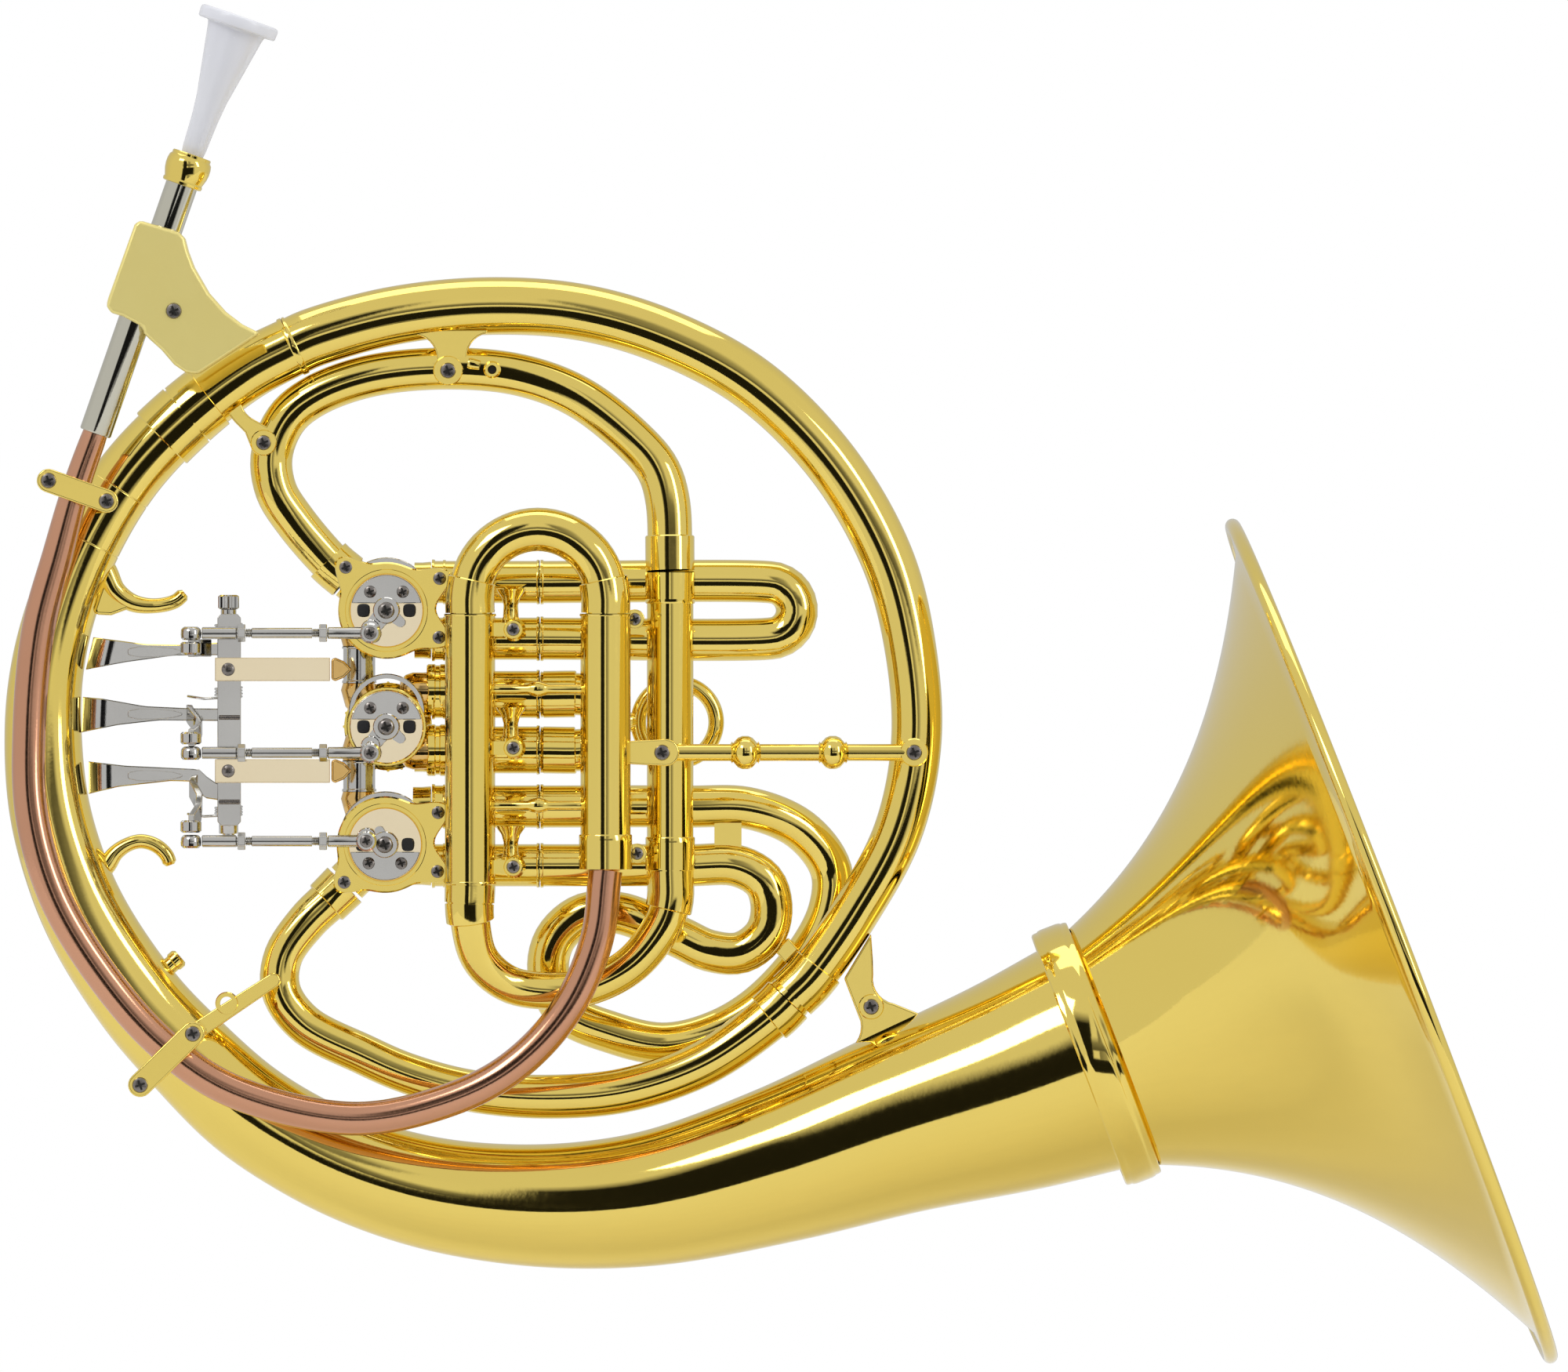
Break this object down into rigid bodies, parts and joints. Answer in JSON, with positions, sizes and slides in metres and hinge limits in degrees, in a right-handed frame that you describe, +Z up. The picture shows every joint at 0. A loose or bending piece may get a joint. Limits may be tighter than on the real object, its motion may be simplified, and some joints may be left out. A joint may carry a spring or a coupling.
{
  "type": "french horn",
  "caption": "Single French horn with rotary valves, lever and rod linkage, tuning slides, coiled tapered tubing and a flared bell.",
  "frame": {"origin": "on the axis of the lever shaft, beside the middle lever, where the left hand holds the horn", "axes": "+X from the levers towards the bell, +Z up towards the mouthpiece, -Y the side that the levers and link rods are on; the coil of tubing lies in the XZ plane"},
  "size_m": [0.5153, 0.2998, 0.4507],
  "materials": {
    "gold_plate": "gold metallised plating on moulded plastic, polished",
    "satin_gold": "satin gold metallised plating",
    "chrome_tube": "polished chrome",
    "rose_brass": "lacquered rose brass",
    "pale_gold": "pale rose gold plate",
    "nickel": "bright nickel",
    "stop_rubber": "black rubber",
    "mouthpiece_plastic": "white translucent plastic"
  },
  "bodies": {
    "horn": {"mouthpiece_receiver": "gold_plate", "branch_tube": "gold_plate", "main_coil": "gold_plate", "bell_tail": "gold_plate", "bell_flare": "gold_plate", "bell_garland": "gold_plate", "left_slide_leg": "gold_plate", "right_slide_leg": "gold_plate", "inner_leg": "gold_plate", "valve_inlet_tube": "gold_plate", "valve_casing_1": "gold_plate", "valve_casing_2": "gold_plate", "valve_casing_3": "gold_plate", "valve_cap_1": "gold_plate", "valve_cap_2": "gold_plate", "valve_cap_3": "gold_plate", "slide_sleeves_1": "gold_plate", "slide_sleeves_2": "gold_plate", "slide_sleeves_3": "gold_plate", "finger_hook": "gold_plate", "little_finger_hook": "gold_plate", "cross_brace": "gold_plate", "bell_brace": "gold_plate", "upper_clamp": "gold_plate", "lower_clamp": "gold_plate", "leadpipe_upper": "chrome_tube", "leadpipe": "rose_brass", "leadpipe_bracket": "satin_gold", "bearing_plate_1": "pale_gold", "bearing_plate_2": "pale_gold", "bearing_plate_3": "pale_gold", "lever_support_upper": "pale_gold", "lever_support_lower": "pale_gold", "lever_spring_1": "nickel", "lever_spring_2": "nickel", "lever_spring_3": "nickel", "lever_shaft": "nickel", "stop_bumpers_1": "stop_rubber", "stop_bumpers_2": "stop_rubber", "stop_bumpers_3": "stop_rubber"},
    "mouthpiece": {"mouthpiece": "mouthpiece_plastic"},
    "main_tuning_slide": {"main_tuning_slide": "gold_plate"},
    "lower_tuning_slide": {"lower_tuning_slide": "gold_plate"},
    "valve_slide_1": {"valve_slide_1": "gold_plate"},
    "valve_slide_2": {"valve_slide_2": "gold_plate"},
    "valve_slide_3": {"valve_slide_3": "gold_plate"},
    "rotor_1": {"rotor_1": "rose_brass", "stop_arm_1": "nickel"},
    "rotor_2": {"rotor_2": "rose_brass", "stop_arm_2": "nickel"},
    "rotor_3": {"rotor_3": "rose_brass", "stop_arm_3": "nickel"},
    "link_rod_1": {"link_rod_1": "nickel"},
    "link_rod_2": {"link_rod_2": "nickel"},
    "link_rod_3": {"link_rod_3": "nickel"},
    "lever_1": {"lever_1": "nickel"},
    "lever_2": {"lever_2": "nickel"},
    "lever_3": {"lever_3": "nickel"}
  },
  "joints": [
    {"name": "mouthpiece_pull", "type": "slide", "parent": "horn", "child": "mouthpiece", "axis": [0.3293, 0, 0.9442], "range_m": [0, 0.012]},
    {"name": "main_slide_pull", "type": "slide", "parent": "horn", "child": "main_tuning_slide", "axis": [0, 0, 1], "range_m": [0, 0.025]},
    {"name": "lower_slide_pull", "type": "slide", "parent": "horn", "child": "lower_tuning_slide", "axis": [0, 0, -1], "range_m": [0, 0.018]},
    {"name": "valve_slide_1_pull", "type": "slide", "parent": "horn", "child": "valve_slide_1", "axis": [1, 0, 0], "range_m": [0, 0.018]},
    {"name": "valve_slide_2_pull", "type": "slide", "parent": "horn", "child": "valve_slide_2", "axis": [1, 0, 0], "range_m": [0, 0.02]},
    {"name": "valve_slide_3_pull", "type": "slide", "parent": "horn", "child": "valve_slide_3", "axis": [1, 0, 0], "range_m": [0, 0.008]},
    {"name": "lever_1_press", "type": "hinge", "parent": "horn", "child": "lever_1", "pos_m": [0, -0.004, 0], "axis": [0, 0, 1], "range_deg": [0, 24], "stiffness_Nm_per_rad": 0.08, "springref_deg": -20.05},
    {"name": "rod_1_travel", "type": "slide", "parent": "horn", "child": "link_rod_1", "axis": [1, 0, 0], "range_m": [-0.0002, 0.0099]},
    {"name": "rotor_1_turn", "type": "hinge", "parent": "horn", "child": "rotor_1", "pos_m": [0.0525, 0.002, 0.038], "axis": [0, -1, 0], "range_deg": [-1, 81]},
    {"name": "lever_2_press", "type": "hinge", "parent": "horn", "child": "lever_2", "pos_m": [0, -0.004, 0], "axis": [0, 0, 1], "range_deg": [0, 24], "stiffness_Nm_per_rad": 0.08, "springref_deg": -20.05},
    {"name": "rod_2_travel", "type": "slide", "parent": "horn", "child": "link_rod_2", "axis": [1, 0, 0], "range_m": [-0.0002, 0.0099]},
    {"name": "rotor_2_turn", "type": "hinge", "parent": "horn", "child": "rotor_2", "pos_m": [0.0525, 0.002, -0.0005], "axis": [0, -1, 0], "range_deg": [-1, 81]},
    {"name": "lever_3_press", "type": "hinge", "parent": "horn", "child": "lever_3", "pos_m": [0, -0.004, 0], "axis": [0, 0, 1], "range_deg": [0, 21], "stiffness_Nm_per_rad": 0.08, "springref_deg": -20.05},
    {"name": "rod_3_travel", "type": "slide", "parent": "horn", "child": "link_rod_3", "axis": [1, 0, 0], "range_m": [-0.0002, 0.0088]},
    {"name": "rotor_3_turn", "type": "hinge", "parent": "horn", "child": "rotor_3", "pos_m": [0.052, 0.002, -0.0395], "axis": [0, 1, 0], "range_deg": [-1, 91]}
  ],
  "couplings": [
    {"joint": "rod_1_travel", "follows": "lever_1_press", "m_per_rad": 0.022918},
    {"joint": "rotor_1_turn", "follows": "lever_1_press", "ratio": 3.3333},
    {"joint": "rod_2_travel", "follows": "lever_2_press", "m_per_rad": 0.022918},
    {"joint": "rotor_2_turn", "follows": "lever_2_press", "ratio": 3.3333},
    {"joint": "rod_3_travel", "follows": "lever_3_press", "m_per_rad": 0.023191},
    {"joint": "rotor_3_turn", "follows": "lever_3_press", "ratio": 4.2857}
  ]
}
